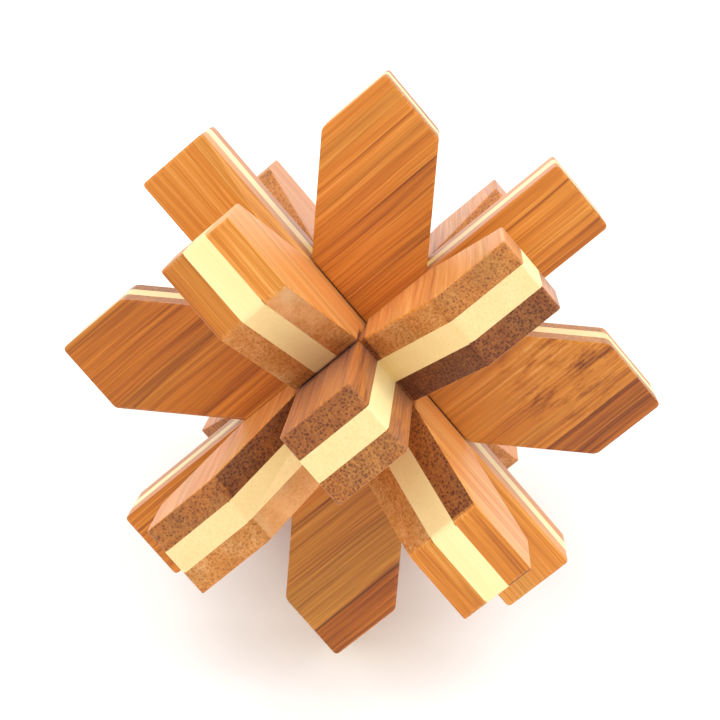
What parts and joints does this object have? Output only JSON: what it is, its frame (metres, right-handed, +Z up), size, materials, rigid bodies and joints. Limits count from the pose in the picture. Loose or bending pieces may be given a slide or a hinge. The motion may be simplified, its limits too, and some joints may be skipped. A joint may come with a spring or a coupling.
{
  "type": "burr puzzle",
  "caption": "Interlocking burr puzzle of layered bamboo boards with square and pointed arms, locked by a straight key stick.",
  "frame": {"origin": "on the surface it stands on, below the middle where all the arms cross", "axes": "+Z up; the three square-arm directions rise at one angle to +Z, and the forward square arm leads towards -Y; +X to the right"},
  "size_m": [0.091, 0.0838, 0.0813],
  "materials": {
    "carbonised_bamboo": "smooth sanded, light satin",
    "natural_bamboo": "smooth sanded, light satin"
  },
  "bodies": {
    "puzzle": {"right_fork_front_layer": "carbonised_bamboo", "right_fork_core_layer": "natural_bamboo", "right_fork_back_layer": "carbonised_bamboo", "left_fork_front_layer": "carbonised_bamboo", "left_fork_core_layer": "natural_bamboo", "left_fork_back_layer": "carbonised_bamboo", "front_fork_upper_layer": "carbonised_bamboo", "front_fork_core_layer": "natural_bamboo", "front_fork_lower_layer": "carbonised_bamboo", "back_fork_upper_layer": "carbonised_bamboo", "back_fork_core_layer": "natural_bamboo", "back_fork_lower_layer": "carbonised_bamboo", "front_yoke_right_layer": "carbonised_bamboo", "front_yoke_core_layer": "natural_bamboo", "front_yoke_left_layer": "carbonised_bamboo", "back_yoke_right_layer": "carbonised_bamboo", "back_yoke_core_layer": "natural_bamboo", "back_yoke_left_layer": "carbonised_bamboo"},
    "key": {"key_front_layer": "carbonised_bamboo", "key_core_layer": "natural_bamboo", "key_back_layer": "carbonised_bamboo"}
  },
  "joints": [
    {"name": "key_slide", "type": "slide", "parent": "puzzle", "child": "key", "axis": [-0.7071, 0.4082, 0.5774], "range_m": [-0.015, 0.062]}
  ]
}
